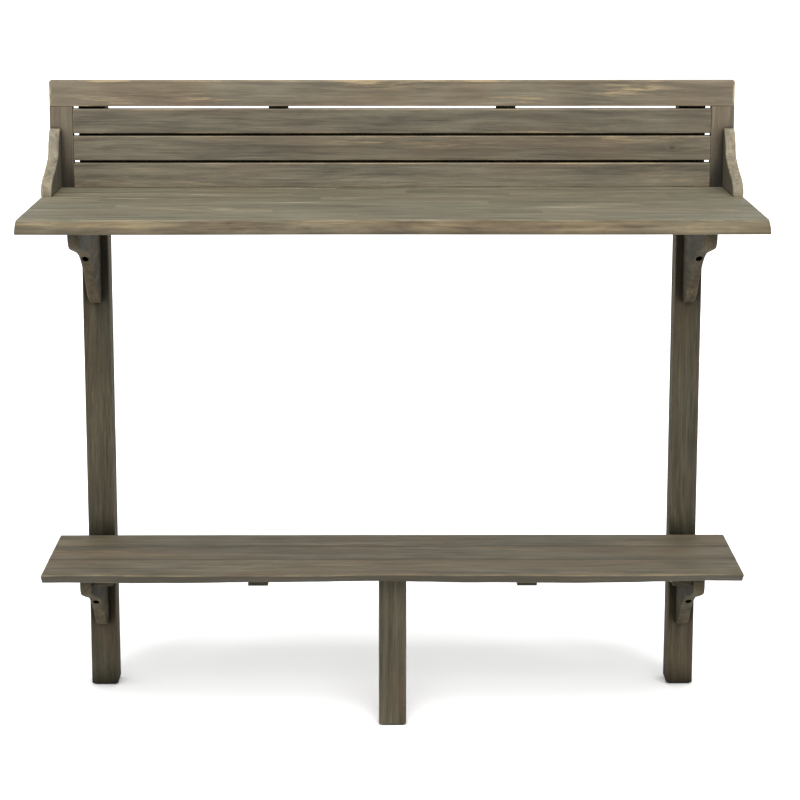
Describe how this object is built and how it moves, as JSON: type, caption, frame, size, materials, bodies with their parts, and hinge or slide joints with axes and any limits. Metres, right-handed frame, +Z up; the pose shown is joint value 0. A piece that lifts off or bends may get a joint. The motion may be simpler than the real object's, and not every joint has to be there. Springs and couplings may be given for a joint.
{
  "type": "potting bench",
  "caption": "Narrow garden potting bench of stained wood with a live-edge worktop, slatted backsplash, end brackets, low shelf, rear posts and a short centre leg",
  "frame": {"origin": "on the floor, under the middle of the bench's box", "axes": "+X along the bench to the right as seen from the front, +Y to the back, +Z up"},
  "size_m": [1.2, 0.5, 1.112],
  "materials": {
    "worktop_wood": "grey-brown stained hardwood strips, matt, rubbed lighter at the edges",
    "shelf_wood": "grey-brown stained hardwood planks, matt",
    "backsplash_wood": "grey-brown stained hardwood, matt, rubbed edges",
    "frame_wood": "dark grey-brown stained hardwood, matt",
    "zinc_steel": "zinc plated",
    "glide_plastic": "dark moulded plastic"
  },
  "bodies": {
    "root": {"backsplash_batten_left": "frame_wood", "backsplash_batten_right": "frame_wood", "backsplash_batten_screws": "zinc_steel", "backsplash_dowels": "frame_wood", "backsplash_slat_lower": "backsplash_wood", "backsplash_slat_middle": "backsplash_wood", "backsplash_slat_upper": "backsplash_wood", "backsplash_stile_left": "backsplash_wood", "backsplash_stile_right": "backsplash_wood", "backsplash_top_rail": "backsplash_wood", "bracket_bolts": "zinc_steel", "bracket_side_screws": "zinc_steel", "centre_leg": "frame_wood", "end_bracket_left": "backsplash_wood", "end_bracket_right": "backsplash_wood", "end_bracket_screws": "zinc_steel", "foot_pad_centre": "glide_plastic", "foot_pad_left": "glide_plastic", "foot_pad_right": "glide_plastic", "leg_screws": "zinc_steel", "lower_back_rail": "frame_wood", "lower_rail_screws": "zinc_steel", "post_left": "frame_wood", "post_right": "frame_wood", "post_screws": "zinc_steel", "rail_bolts": "zinc_steel", "shelf_batten_1": "frame_wood", "shelf_batten_2": "frame_wood", "shelf_batten_3": "frame_wood", "shelf_batten_4": "frame_wood", "shelf_batten_5": "frame_wood", "shelf_batten_screws": "zinc_steel", "shelf_bracket_left": "frame_wood", "shelf_bracket_right": "frame_wood", "shelf_plank_back": "shelf_wood", "shelf_plank_front": "shelf_wood", "shelf_plank_middle": "shelf_wood", "upper_back_rail": "frame_wood", "worktop_bracket_left": "frame_wood", "worktop_bracket_right": "frame_wood", "worktop_cleat_1": "frame_wood", "worktop_cleat_2": "frame_wood", "worktop_cleat_3": "frame_wood", "worktop_cleat_4": "frame_wood", "worktop_cleat_screws": "zinc_steel", "worktop_strip_1": "worktop_wood", "worktop_strip_2": "worktop_wood", "worktop_strip_3": "worktop_wood", "worktop_strip_4": "worktop_wood", "worktop_strip_5": "worktop_wood", "worktop_strip_6": "worktop_wood", "worktop_strip_7": "worktop_wood", "worktop_strip_8": "worktop_wood", "worktop_strip_9": "worktop_wood"}
  },
  "joints": []
}
